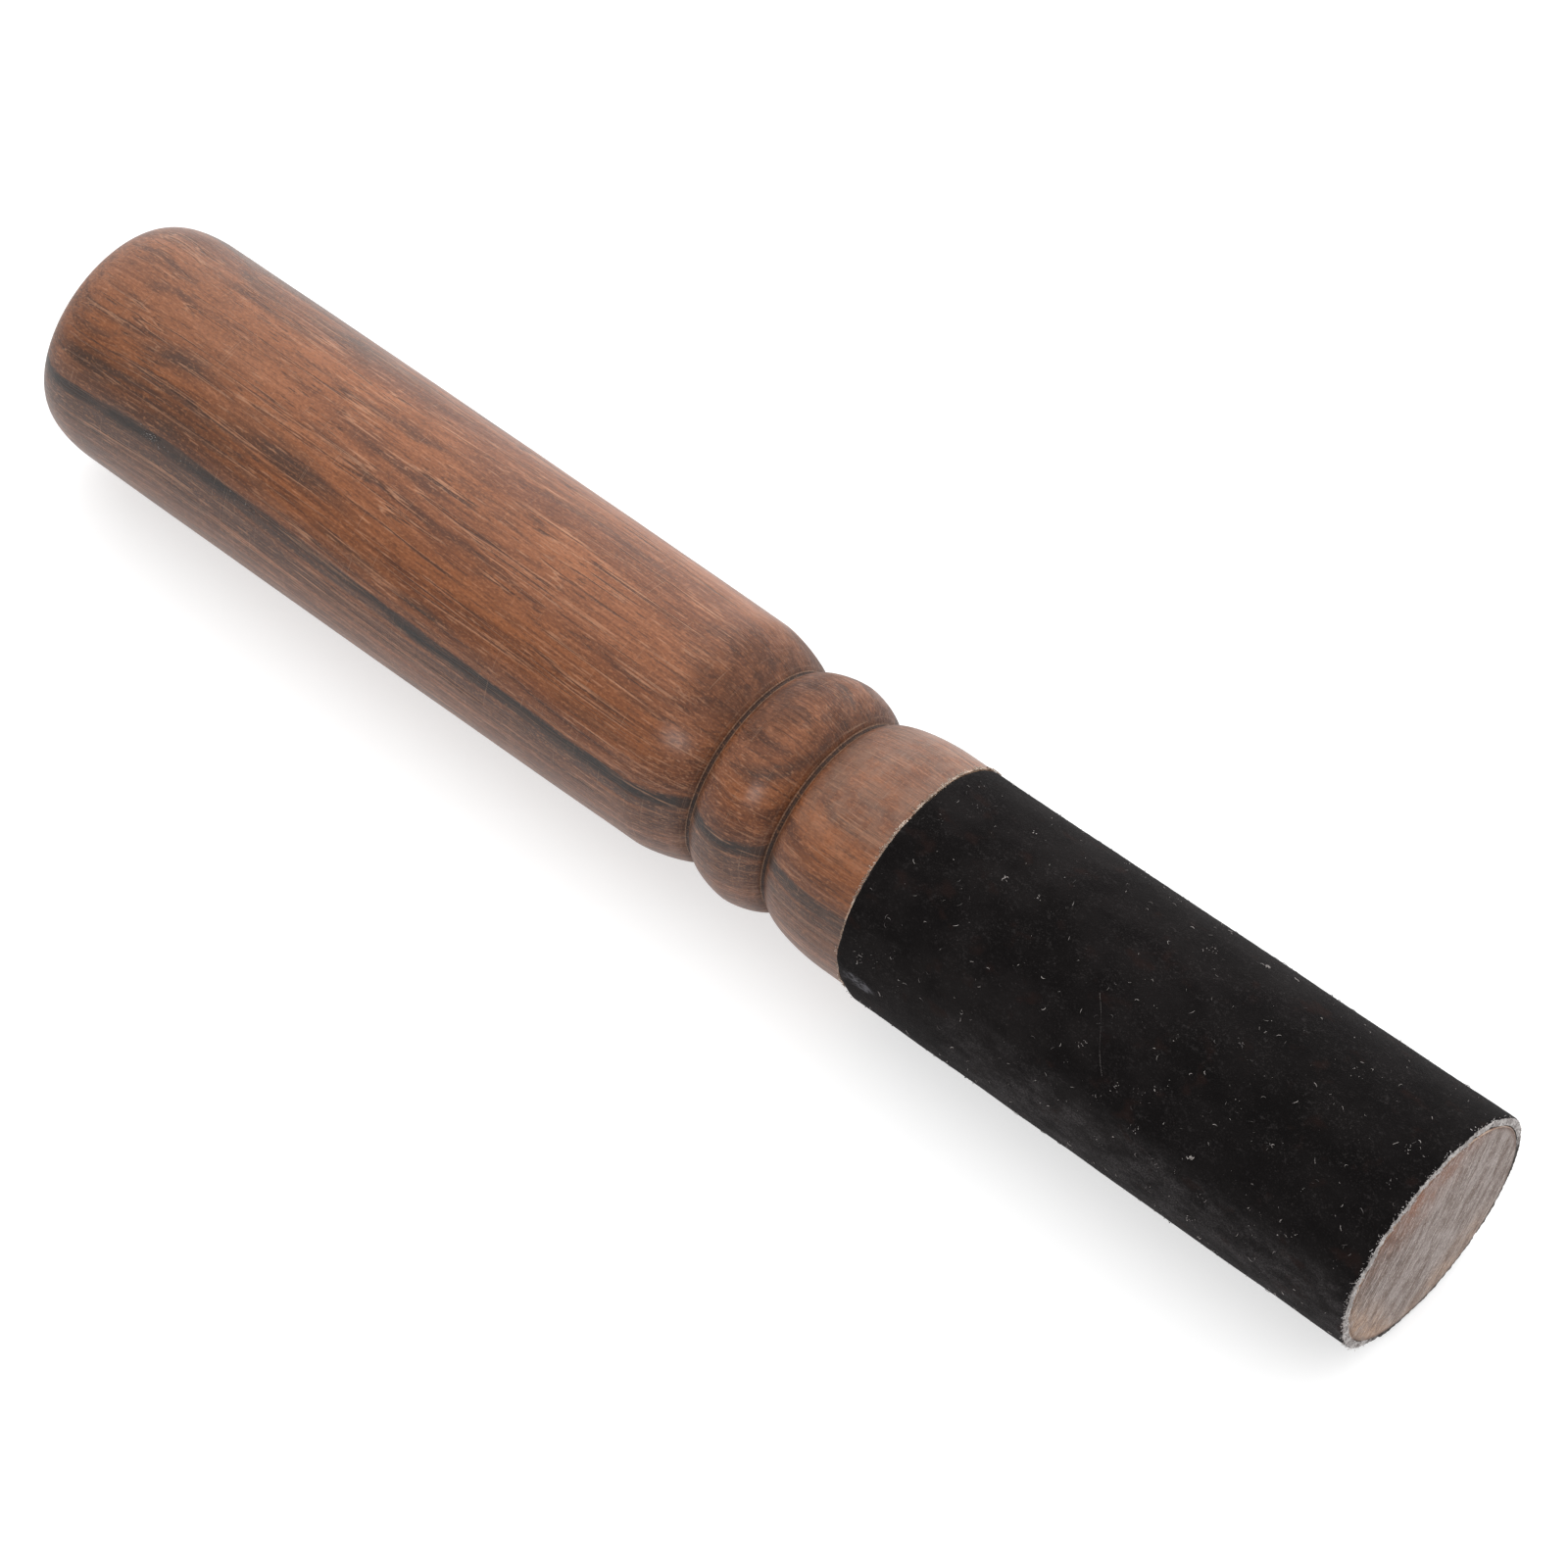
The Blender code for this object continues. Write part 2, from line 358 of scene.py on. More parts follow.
    # The hand-darkened end of the grip, and its rounded tip, whose cut pores drank more wax
    colour = g.mix(g.ramp(x, -60.0, -75.0, 0.0, 0.20), colour, (0.030, 0.012, 0.006, 1))
    tip = g.ramp(x, HANDLE_TIP / MM + 4.0, HANDLE_TIP / MM + 0.8, 0.0, 0.50)
    colour = g.mix(g.times(tip, g.ramp(speckle, 0.56, 0.44, 0.35, 1.0)), colour, (0.060, 0.024, 0.013, 1))

    # Speckle, and faint scratches that run round the stick
    bright = g.times(g.ramp(speckle, 0.52, 0.72, 0.0, 0.40), g.minus(1.0, g.times(ink, 0.85)))
    bright = g.times(bright, g.minus(1.0, g.times(burnt, 0.45)))
    colour = g.mix(bright, colour, (0.370, 0.155, 0.068, 1))
    colour = g.mix(g.ramp(speckle, 0.48, 0.28, 0.0, 0.50), colour, (0.055, 0.020, 0.010, 1))
    rounds = g.noise(g.stretched(place, 0.16, 9.0, 9.0), 2.0, 0.6)
    scratch = g.times(g.ramp(rounds, 0.64, 0.73), g.ramp(blotch, 0.42, 0.58))
    scratch = g.times(scratch, body)
    colour = g.mix(g.times(scratch, 0.26), colour, (0.400, 0.245, 0.160, 1))
    sanded = g.times(collar, g.ramp(g.plus(y, z), -4.0, 10.0, 0.12, 1.0))
    worn = g.times(g.ramp(blotch, 0.36, 0.62, 0.2, 0.75), sanded)
    colour = g.mix(g.times(worn, 0.55), colour, (0.200, 0.118, 0.082, 1))
    rings = g.noise(g.stretched(place, 0.15, 5.5, 5.5), 4.0, 0.70)
    colour = g.mix(g.times(g.ramp(rings, 0.60, 0.72, 0.0, 0.40), sanded), colour, (0.340, 0.220, 0.160, 1))
    colour = g.mix(g.times(g.ramp(rings, 0.41, 0.30, 0.0, 0.50), sanded), colour, (0.062, 0.030, 0.020, 1))

    # Two fine tool lines beside each groove, and the sanded edge under the suede
    for groove in (FIRST_GROOVE / MM, SECOND_GROOVE / MM):
        for offset, gain in ((-0.30, 0.55), (0.27, 0.70), (-0.80, 0.12)):
            away = g.gap(x, groove + offset)
            bright = g.times(g.ramp(away, 0.09, 0.03, 0.0, gain), g.ramp(speckle, 0.36, 0.60, 0.35, 1.0))
            colour = g.mix(bright, colour, (0.330, 0.200, 0.130, 1))
    edge = g.ramp(g.plus(x, g.times(speckle, 0.5)), COLLAR_END / MM - 0.05, COLLAR_END / MM + 0.20)
    edge = g.times(edge, g.ramp(blotch, 0.40, 0.58, 0.25, 0.90))
    colour = g.mix(edge, colour, (0.470, 0.330, 0.240, 1))

    relief = g.minus(g.times(fibres, -0.6), g.times(dark, 1.0))
    relief = g.plus(relief, g.times(pale, 0.4))
    relief = g.plus(relief, g.times(speckle, 0.8))
    relief = g.plus(relief, g.times(rounds, 0.30))
    roughness = g.plus(g.ramp(fibres, 0.30, 0.75, 0.44, 0.58), g.times(burnt, 0.10))
    wax = g.ramp(burnt, 0.0, 0.8, 0.30, 0.04)
    return colour, relief, roughness, wax


def oiled_hardwood():
    g = Graph("waxed_rosewood")
    colour, relief, roughness, wax = wood_parts(g)
    g.set(Base_Color=colour, Roughness=roughness, Normal=g.bump(relief, 0.7, 0.00010))
    g.set(Specular_IOR_Level=0.25, Coat_Weight=wax, Coat_Roughness=0.28)
    return g.material


# The saw's streaks on the end face lean by this much from the facing direction
END_STREAK_LEAN = math.radians(33)


def end_grain():
    """The sawn and sanded face: grey with dust, streaked one way, browner to one side."""
    g = Graph("sanded_end_grain")
    place = g.place()
    _, y, z = g.parts(place)
    near, across = g.facing(y, z)
    lean = END_STREAK_LEAN
    u = g.minus(g.times(near, math.cos(lean)), g.times(across, math.sin(lean)))
    v = g.plus(g.times(across, math.cos(lean)), g.times(near, math.sin(lean)))
    u = g.minus(u, g.times(g.times(v, v), 0.006))
    wide = g.noise(g.vector(g.times(v, 0.10), g.times(u, 0.62), 4.0), 3.0, 0.6)
    fine = g.noise(g.vector(g.times(v, 0.42), g.times(u, 3.2), 0.0), 4.0, 0.72)
    dust = g.noise(g.stretched(place, 3.0, 2.2, 2.2), 4.0, 0.65)
    grit = g.noise(g.stretched(place, 0.4, 0.26, 0.26), 2.0, 0.6)

    colour = g.mix(g.ramp(wide, 0.40, 0.60), (0.150, 0.110, 0.093, 1), (0.262, 0.220, 0.202, 1))
    colour = g.mix(g.ramp(dust, 0.42, 0.66, 0.0, 0.45), colour, (0.335, 0.292, 0.275, 1))
    brown = g.times(g.ramp(near, 3.5, 12.5), g.ramp(across, -13.0, -2.0, 0.15, 1.0))
    colour = g.mix(g.times(brown, g.ramp(dust, 0.36, 0.58, 1.0, 0.45)), colour, (0.200, 0.088, 0.052, 1))
    tan = g.larger(g.ramp(across, -7.5, -13.0, 0.0, 0.85), g.ramp(near, -6.5, -12.5, 0.0, 0.60))
    tan = g.times(tan, g.ramp(across, 9.0, 1.0))
    colour = g.mix(g.times(tan, g.ramp(dust, 0.38, 0.60, 0.35, 1.0)), colour, (0.360, 0.232, 0.155, 1))
    colour = g.mix(g.ramp(fine, 0.52, 0.68, 0.0, 0.60), colour, (0.480, 0.425, 0.400, 1))
    colour = g.mix(g.ramp(fine, 0.48, 0.32, 0.0, 0.85), colour, (0.070, 0.042, 0.033, 1))
    shade = g.times(g.ramp(near, 1.0, 8.0), g.ramp(across, 2.0, -5.0))
    shade = g.times(shade, g.ramp(fine, 0.58, 0.46))
    colour = g.mix(g.times(shade, 0.60), colour, (0.060, 0.038, 0.028, 1))
    colour = g.mix(g.ramp(grit, 0.46, 0.30, 0.0, 0.50), colour, (0.080, 0.050, 0.040, 1))
    colour = g.mix(g.ramp(grit, 0.56, 0.72, 0.0, 0.45), colour, (0.560, 0.490, 0.450, 1))
    out = g.distance(y, z)
    rim = g.times(g.ramp(out, 13.2, 13.8), g.ramp(dust, 0.40, 0.60, 0.2, 0.8))
    colour = g.mix(rim, colour, (0.110, 0.060, 0.040, 1))
    relief = g.plus(fine, g.times(grit, 0.5))
    g.set(Base_Color=colour, Roughness=0.75, Normal=g.bump(relief, 0.6, 0.00010))
    g.set(Specular_IOR_Level=0.25)
    return g.material


def suede_nap():
    """Black nap: mottled and flecked, rubbed greyer low down and scuffed at one corner."""
    g = Graph("black_suede_nap")
    place = g.place()
    x, y, z = g.parts(place)
    mottle = g.noise(g.stretched(place, 6.5, 5.0, 5.0), 3.0, 0.55)
    clumps = g.noise(g.stretched(place, 0.55, 0.42, 0.42), 3.0, 0.65)
    hairs = g.noise(g.stretched(place, 0.22, 0.15, 0.15), 2.0, 0.6)
    dust = g.noise(g.stretched(place, 0.20, 0.16, 0.16), 1.0, 0.5)
    scuffs = g.noise(g.stretched(place, 1.3, 0.50, 0.50), 3.0, 0.70)
    colour = g.mix(g.ramp(mottle, 0.35, 0.68), (0.0048, 0.0040, 0.0040, 1), (0.0094, 0.0080, 0.0079, 1))
    colour = g.mix(g.ramp(x, 58.0, 78.0, 0.0, 0.45), colour, (0.0036, 0.0031, 0.0031, 1))
    flecked = g.ramp(g.noise(g.stretched(place, 3.2, 2.2, 2.2), 2.0, 0.6), 0.40, 0.62, 0.25, 1.0)
    colour = g.mix(g.times(g.ramp(clumps, 0.52, 0.76, 0.0, 0.7), flecked), colour, (0.027, 0.024, 0.024, 1))
    colour = g.mix(g.times(g.ramp(hairs, 0.55, 0.76, 0.0, 0.55), flecked), colour, (0.040, 0.035, 0.034, 1))
    # The lower side was rubbed: a fog of greyer raised nap, darker again right underneath
    low = g.minus(g.times(y, -math.cos(math.radians(12))),
                 g.times(z, math.sin(math.radians(12))))
    fog = g.noise(g.stretched(place, 3.4, 1.9, 1.9), 4.0, 0.66)
    rubbed = g.times(g.ramp(low, 11.4, 14.0), g.ramp(x, 38.0, 50.0, 0.10, 1.0))
    rubbed = g.times(rubbed, g.ramp(z, -6.2, -3.2, 0.35, 1.0))
    rubbed = g.times(rubbed, g.ramp(fog, 0.36, 0.68, 0.15, 1.0))
    rubbed = g.times(rubbed, g.ramp(hairs, 0.40, 0.62, 0.30, 1.0))
    colour = g.mix(g.times(rubbed, 0.75), colour, (0.052, 0.047, 0.048, 1))
    # The scuffed lower corner of the leading edge
    along = g.times(g.minus(x, 30.4), 0.42)
    around = g.plus(z, 0.3)
    from_corner = g.plus(g.distance(along, around), g.ramp(fog, 0.3, 0.7, -0.35, 0.35))
    corner = g.times(g.ramp(from_corner, 1.15, 0.35), g.ramp(y, -6.0, -9.0))
    corner = g.times(corner, g.ramp(scuffs, 0.42, 0.58, 0.1, 1.0))
    colour = g.mix(g.times(corner, 0.85), colour, (0.105, 0.103, 0.112, 1))
    specks = g.times(g.ramp(dust, 0.735, 0.80), g.ramp(mottle, 0.40, 0.60, 0.35, 1.0))
    colour = g.mix(g.times(specks, 0.35), colour, (0.150, 0.135, 0.132, 1))
    tint = g.noise(g.stretched(place, 3.6, 2.8, 2.8), 2.0, 0.6)
    colour = g.mix(g.ramp(tint, 0.58, 0.74, 0.0, 0.45), colour, (0.0165, 0.0085, 0.0070, 1))
    relief = g.plus(g.times(clumps, 0.35), g.times(hairs, 0.8))
    g.set(Base_Color=colour, Roughness=0.95, Normal=g.bump(relief, 0.8, 0.00014))
    g.set(Specular_IOR_Level=0.05, Sheen_Weight=0.036, Sheen_Roughness=0.45)
    g.set(Sheen_Tint=(0.80, 0.76, 0.78, 1.0))
    return g.material


def suede_cut_edge():
    """The pale, undyed fibre of the cut; on the far side the dye and glue keep it dark."""
    g = Graph("suede_cut_edge")
    place = g.place()
    _, y, z = g.parts(place)
    near, _ = g.facing(y, z)
    tufts = g.noise(g.stretched(place, 0.30, 0.26, 0.26), 3.0, 0.7)
    patches = g.noise(g.stretched(place, 2.0, 1.7, 1.7), 3.0, 0.6)
    colour = g.mix(g.ramp(patches, 0.35, 0.66), (0.300, 0.272, 0.262, 1), (0.600, 0.570, 0.555, 1))
    colour = g.mix(g.ramp(tufts, 0.52, 0.36, 0.0, 0.85), colour, (0.050, 0.044, 0.042, 1))
    dyed = g.times(g.ramp(near, -2.5, -8.5), g.ramp(patches, 0.40, 0.62, 0.97, 0.80))
    colour = g.mix(dyed, colour, (0.022, 0.017, 0.015, 1))
    g.set(Base_Color=colour, Roughness=0.95, Normal=g.bump(tufts, 0.9, 0.00020))
    g.set(Specular_IOR_Level=0.15)
    return g.material


def fibre(name, dark, pale):
    """Loose fibre: its shade changes a little from place to place."""
    g = Graph(name)
    shade = g.noise(g.stretched(g.place(), 1.3, 1.3, 1.3), 1.0, 0.5)
    g.set(Base_Color=g.mix(g.ramp(shade, 0.35, 0.65), (*dark, 1), (*pale, 1)), Roughness=0.85)
    g.set(Specular_IOR_Level=0.25)
    return g.material


def dried_glue():
    """Dark glue with a few amber drops."""
    g = Graph("dried_glue")
    place = g.place()
    drops = g.noise(g.stretched(place, 1.2, 1.6, 1.6), 3.0, 0.6)
    colour = g.mix(g.ramp(drops, 0.52, 0.74), (0.016, 0.011, 0.009, 1), (0.200, 0.080, 0.026, 1))
    g.set(Base_Color=colour, Roughness=0.60, Normal=g.bump(drops, 0.5, 0.00010))
    g.set(Specular_IOR_Level=0.20)
    return g.material


# -------------------------------------------------------------------- outlines

def fall(x_high, r_high, x_low, r_low, fullness, steps):
    """Points from a level crest down to where the curve is steepest, as in part.py."""
    points = []
    for i in range(steps + 1):
        across = math.sin(0.5 * math.pi * i / steps)
        height = (1.0 - across ** fullness) ** (1.0 / fullness)
        points.append((x_high + (x_low - x_high) * across, r_low + (r_high - r_low) * height))
    return points


def groove_floor(centre, left_radius, right_radius):
    """A narrow flat between two fine burrs, which catch the light as two thin lines."""
    burr = 0.07 * MM
    half = GROOVE_FLOOR / 2
    middle = (left_radius + right_radius) / 2
    return [
        (centre - half, left_radius + burr),
        (centre - 0.72 * half, left_radius + 0.6 * burr),
        (centre - 0.50 * half, middle - burr),
        (centre, middle - 1.4 * burr),
        (centre + 0.50 * half, middle - burr),
        (centre + 0.72 * half, right_radius + 0.6 * burr),
        (centre + half, right_radius + burr),
    ]


def handle_radius(share):
    """The grip's radius, share of the way from its rounded end to its shoulder."""
    straight = HANDLE_END_RADIUS + (SHOULDER_RADIUS - HANDLE_END_RADIUS) * share
    middle = (HANDLE_END_RADIUS + SHOULDER_RADIUS) / 2
    return straight + (HANDLE_RADIUS - middle) * 4.0 * share * (1.0 - share)


def turned_outline():
    """(x, r) from the handle's tip, over grip, grooves, bead and collar, to the rebate."""
    face_x = HANDLE_TIP + CROWN_HEIGHT
    face_radius = HANDLE_END_RADIUS - ROUND_OVER_DEPTH
    points = []
    for i in range(14):
        share = i / 14
        points.append((face_x - CROWN_HEIGHT * (1.0 - share ** 2), face_radius * share))
    points += fall(face_x + ROUND_OVER_LENGTH, HANDLE_END_RADIUS, face_x, face_radius, 2.0, 26)[::-1]

    start = face_x + ROUND_OVER_LENGTH
    half_floor = GROOVE_FLOOR / 2
    end = FIRST_GROOVE - half_floor - SHOULDER_LENGTH
    steps = 150
    points += [(start + (end - start) * i / steps, handle_radius(i / steps)) for i in range(1, steps)]

    bead_middle = (FIRST_GROOVE + SECOND_GROOVE) / 2
    points += fall(end, SHOULDER_RADIUS, FIRST_GROOVE - half_floor, FIRST_GROOVE_RADIUS, 1.4, 30)[:-1]
    points += groove_floor(FIRST_GROOVE, FIRST_GROOVE_RADIUS, FIRST_GROOVE_RADIUS)
    bead_start, bead_end = FIRST_GROOVE + half_floor, SECOND_GROOVE - half_floor
    points += fall(bead_middle, BEAD_RADIUS, bead_start, FIRST_GROOVE_RADIUS, 1.6, 24)[-2::-1]
    points += fall(bead_middle, BEAD_RADIUS, bead_end, SECOND_GROOVE_RADIUS, 1.6, 24)[1:-1]
    points += groove_floor(SECOND_GROOVE, SECOND_GROOVE_RADIUS, SECOND_GROOVE_RADIUS)
    crest = SECOND_GROOVE + half_floor + COLLAR_ROUND_LENGTH
    points += fall(crest, COLLAR_RADIUS, SECOND_GROOVE + half_floor, SECOND_GROOVE_RADIUS, 1.8, 30)[-2::-1]
    points += [(crest + (COLLAR_END - crest) * i / 8, COLLAR_RADIUS) for i in range(1, 9)]
    return points


# The striking end was cut a little out of square: shorter on the side below the camera
END_SLANT = 0.037


def slanted(x, radius, angle):
    """Shears the last of the mallet so that its end face leans as the cut does."""
    share = smoothstep(WRAP_START, STRIKING_END, x)
    return x - END_SLANT * share * radius * math.sin(angle - FACING)


# ------------------------------------------------------------------ turned wood

SEGMENTS = 224
FACE_RADIUS = CORE_RADIUS + 0.32 * MM
FACE_BEVEL = 0.10 * MM
FACE_RINGS = 18


def wood_relief(x, r, angle):
    """Hand-turned unevenness: slow waves in the grip, fine tool marks near the beads."""
    spot = Vector((x / (9.0 * MM), math.sin(angle) * 1.6, math.cos(angle) * 1.6))
    slow = perlin.noise(spot) * 0.035 * MM
    near = smoothstep(0.016, 0.004, abs(x - (FIRST_GROOVE + SECOND_GROOVE) / 2))
    marks = perlin.noise(Vector((x / (0.34 * MM), angle * 0.3, 5.0))) * 0.010 * MM * near
    return (slow + marks) * smoothstep(0.0, 0.006, r)


def close_end(mesh_data, ring_start, x, radius, rings, material_index):
    """Closes a ring of vertices with a flat face of rings round a middle vertex."""
    verts, faces, slots = mesh_data
    previous = ring_start
    for i in range(1, rings + 1):
        r = radius * (1.0 - i / rings)
        if i == rings:
            verts.append((x, 0.0, AXIS_Z))
            middle = len(verts) - 1
            for k in range(SEGMENTS):
                faces.append((previous + k, previous + (k + 1) % SEGMENTS, middle))
                slots.append(material_index)
            return
        start = len(verts)
        for k in range(SEGMENTS):
            angle = FULL_TURN * k / SEGMENTS
            spot = direction(angle) * r
            verts.append((slanted(x, r, angle), spot.y, AXIS_Z + spot.z))
        for k in range(SEGMENTS):
            after = (k + 1) % SEGMENTS
            faces.append((previous + k, previous + after, start + after, start + k))
            slots.append(material_index)
        previous = start


def make_wood():
    """The turned stick: its outline swept round, closed by the face and the handle's tip."""
    outline = turned_outline()[1:]
    outline += [(COLLAR_END, FACE_RADIUS)]
    outline += [(COLLAR_END + (STRIKING_END - COLLAR_END) * i / 6, FACE_RADIUS) for i in range(1, 6)]
    outline += [(STRIKING_END - FACE_BEVEL, FACE_RADIUS), (STRIKING_END, FACE_RADIUS - FACE_BEVEL)]
    verts, faces, slots = [], [], []
    for x, r in outline:
        for k in range(SEGMENTS):
            angle = FULL_TURN * k / SEGMENTS
            lifted = r + wood_relief(x, r, angle)
            spot = direction(angle) * lifted
            verts.append((slanted(x, lifted, angle), spot.y, AXIS_Z + spot.z))
    for i in range(len(outline) - 1):
        for k in range(SEGMENTS):
            after = (k + 1) % SEGMENTS
            a, b = i * SEGMENTS + k, i * SEGMENTS + after
            faces.append((a, b, b + SEGMENTS, a + SEGMENTS))
            slots.append(0)
    last_ring = (len(outline) - 1) * SEGMENTS
    close_end((verts, faces, slots), last_ring, STRIKING_END, FACE_RADIUS - FACE_BEVEL, FACE_RINGS, 1)
    verts.append((HANDLE_TIP, 0.0, AXIS_Z))
    for k in range(SEGMENTS):
        faces.append(((k + 1) % SEGMENTS, k, len(verts) - 1))
        slots.append(0)
    piece = mesh_piece("turned_wood", verts, faces, [oiled_hardwood(), end_grain()], slots)
    piece.data.set_sharp_from_angle(angle=math.radians(50))
    return piece


def mesh_piece(name, verts, faces, materials, slots=None):
    """A smooth-shaded object; slots holds the material's number for each face."""
    mesh = bpy.data.meshes.new(name)
    mesh.from_pydata(verts, [], faces)
    for material in materials:
        mesh.materials.append(material)
    if slots is not None:
        mesh.polygons.foreach_set("material_index", slots)
    mesh.shade_smooth()
    piece = bpy.data.objects.new(name, mesh)
    bpy.context.scene.collection.objects.link(piece)
    return piece


# ------------------------------------------------------------------- suede wrap

WRAP_THICKNESS = 1.0 * MM
SEAM = math.radians(152)
SEAM_GAP = 0.16 * MM
CORNER_SKIVE = 1.30 * MM
SEAM_LIFT = 0.07 * MM
# The noises round the wrap are looked up on a circle of this radius (mm)
LOOKUP_RADIUS = 15.0


def wrap_radius(x, angle):
    """The nap's radius: tight at the striking end, looser and off centre at the collar."""
    share = (x - WRAP_START) / (STRIKING_END - WRAP_START)
    side = math.cos(angle - LOW_SIDE)
    radius = WRAP_RADIUS - 0.26 * MM * (1.0 - share)
    radius += side * (0.32 * MM * (1.0 - share) - 0.08 * MM * share)
    spot = direction(angle) * LOOKUP_RADIUS
    lumps = perlin.noise(Vector((x / MM / 7.0, spot.y / 6.0, spot.z / 6.0)))
    clumps = perlin.noise(Vector((x / MM / 0.7, spot.y / 0.6, spot.z / 0.6)))
    return radius + lumps * 0.05 * MM + clumps * 0.022 * MM


def frayed(seed, angle):
    """How far a cut edge strays from a true circle, along X."""
    spot = direction(angle) * LOOKUP_RADIUS
    wide = perlin.noise(Vector((seed, spot.y / 3.0, spot.z / 3.0)))
    fine = perlin.noise(Vector((seed, spot.y / 0.5, spot.z / 0.5)))
    return wide * 0.14 * MM + fine * 0.07 * MM


def lower_corner(angle):
    """From 0 to 1: where the leading edge was skived off on the lower side."""
    degrees = math.degrees(angle) % 360.0
    return smoothstep(80.0, 106.0, degrees) * smoothstep(148.0, 138.0, degrees)


def leading_edge(angle):
    """Where the wrap begins, beside the collar."""
    return WRAP_START + frayed(3.0, angle)


def trailing_edge(angle):
    """The cut end: ragged and flush with the wood where the camera looks, set back beyond."""
    near = math.cos(angle - FACING)
    far = smoothstep(0.10, -0.75, near)
    spot = direction(angle) * LOOKUP_RADIUS
    wide = perlin.noise(Vector((9.0, spot.y / 3.6, spot.z / 3.6))) * 0.26 * MM
    fine = perlin.noise(Vector((9.0, spot.y / 0.6, spot.z / 0.6))) * 0.14 * MM
    return STRIKING_END - 0.15 * MM * far + (wide + fine) * (1.0 - 0.7 * far)


def make_wrap():
    """One strip, bent round until its two ends nearly meet at the seam."""
    half_gap = SEAM_GAP / 2 / WRAP_RADIUS
    edge_steps = [step * MM / WRAP_RADIUS for step in (0.0, 0.10, 0.22, 0.40)]
    first, last = SEAM + half_gap, SEAM + FULL_TURN - half_gap
    count = 330
    inner = [first + (last - first) * i / count for i in range(2, count - 1)]
    angles = [first + step for step in edge_steps] + inner + [last - step for step in edge_steps[::-1]]
    length_steps = 190
    # The cut end's section: how far back (mm) and how deep, as a share of the thickness
    cut = ((0.20, 0.04), (0.09, 0.12), (0.02, 0.25), (0.0, 0.42), (0.0, 0.62), (0.0, 0.82), (0.02, 1.0))
    verts, loops = [], []
    for angle in angles:
        from_end = min(angle - first, last - angle) * WRAP_RADIUS
        turned_in = 0.28 * MM * (1.0 - smoothstep(0.0, 0.40 * MM, from_end))
        lift = SEAM_LIFT * math.exp(-(from_end / (1.6 * MM)) ** 2)
        start, end = leading_edge(angle), trailing_edge(angle)
        corner = lower_corner(angle)
        skived = CORNER_SKIVE * corner
        top = wrap_radius(start, angle) + lift - turned_in
        loop = [(start + 0.05 * MM, top - WRAP_THICKNESS), (start + 0.10 * skived, top - 0.55 * MM),
                (start + 0.03 * MM + 0.35 * skived, top - (0.22 + 0.20 * corner) * MM),
                (start + 0.16 * MM + 0.75 * skived, top - (0.05 + 0.10 * corner) * MM)]
        for i in range(length_steps + 1):
            share = i / length_steps
            x = start + 0.34 * MM + skived * (1.0 - share) + (end - start - 0.72 * MM) * share
            loop.append((x, wrap_radius(x, angle) + lift - turned_in))
        rim = wrap_radius(end, angle) + lift - turned_in
        for back, depth in cut:
            radius = rim - depth * WRAP_THICKNESS
            spot = Vector((radius / MM * 3.0, math.cos(angle) * 34.0, math.sin(angle) * 34.0))
            ruffle = perlin.noise(spot) * MM
            x = end - back * MM + ruffle * 0.13 * min(1.0, depth * 2.5)
            loop.append((x, radius + ruffle * 0.05))
        loop.append((WRAP_START + 0.9 * MM, wrap_radius(WRAP_START, angle) - WRAP_THICKNESS))
        loops.append(len(verts))
        for x, radius in loop:
            spot = direction(angle) * radius
            verts.append((slanted(x, radius, angle), spot.y, AXIS_Z + spot.z))
    loop_size = len(loop)
    faces, slots = [], []
    for j in range(len(angles) - 1):
        a, b = loops[j], loops[j + 1]
        for k in range(loop_size):
            after = (k + 1) % loop_size
            faces.append((a + k, b + k, b + after, a + after))
            slots.append(1 if loop_size - len(cut) <= k < loop_size - 2 else 0)
    faces.append(tuple(range(loops[0], loops[0] + loop_size)))
    faces.append(tuple(range(loops[-1] + loop_size - 1, loops[-1] - 1, -1)))
    slots += [0, 0]
    piece = mesh_piece("suede_strip", verts, faces, [suede_nap(), suede_cut_edge()], slots)
    piece.data.set_sharp_from_angle(angle=math.radians(70))
    return piece


def make_glue():
    """The film between wood and suede, which shows as a thin dark line at the striking end."""
    # The sleeve's section: share of its length, and height above the wood (mm)
    section = [(0.0, 0.0), (0.0, 0.26), (1.0, 0.26), (1.0, 0.0)]
    count = 260
    verts, faces = [], []
    for k in range(count):
        angle = FULL_TURN * k / count
        spot = direction(angle)
        bulge = 0.05 * MM * perlin.noise(Vector((4.0, spot.y * 9.0, spot.z * 9.0)))
        drip = 0.30 * MM * math.exp(-((angle - math.radians(184)) / math.radians(2.6)) ** 2)
        for along, out in section:
            x = WRAP_START + (STRIKING_END - WRAP_START) * along
            if along > 0.5:
                x += bulge + drip * 0.35 - 0.16 * MM
            radius = FACE_RADIUS + out * MM + (drip if along > 0.5 and out > 0.1 else 0.0) - 0.04 * MM
            verts.append((slanted(x, radius, angle), spot.y * radius, AXIS_Z + spot.z * radius))
    size = len(section)
    for k in range(count):
        a, b = k * size, (k + 1) % count * size
        for j in range(size):
            after = (j + 1) % size
            faces.append((a + j, b + j, b + after, a + after))
    return mesh_piece("glue_line", verts, faces, [dried_glue()])


# --------------------------------------------------------------- fuzz and lint

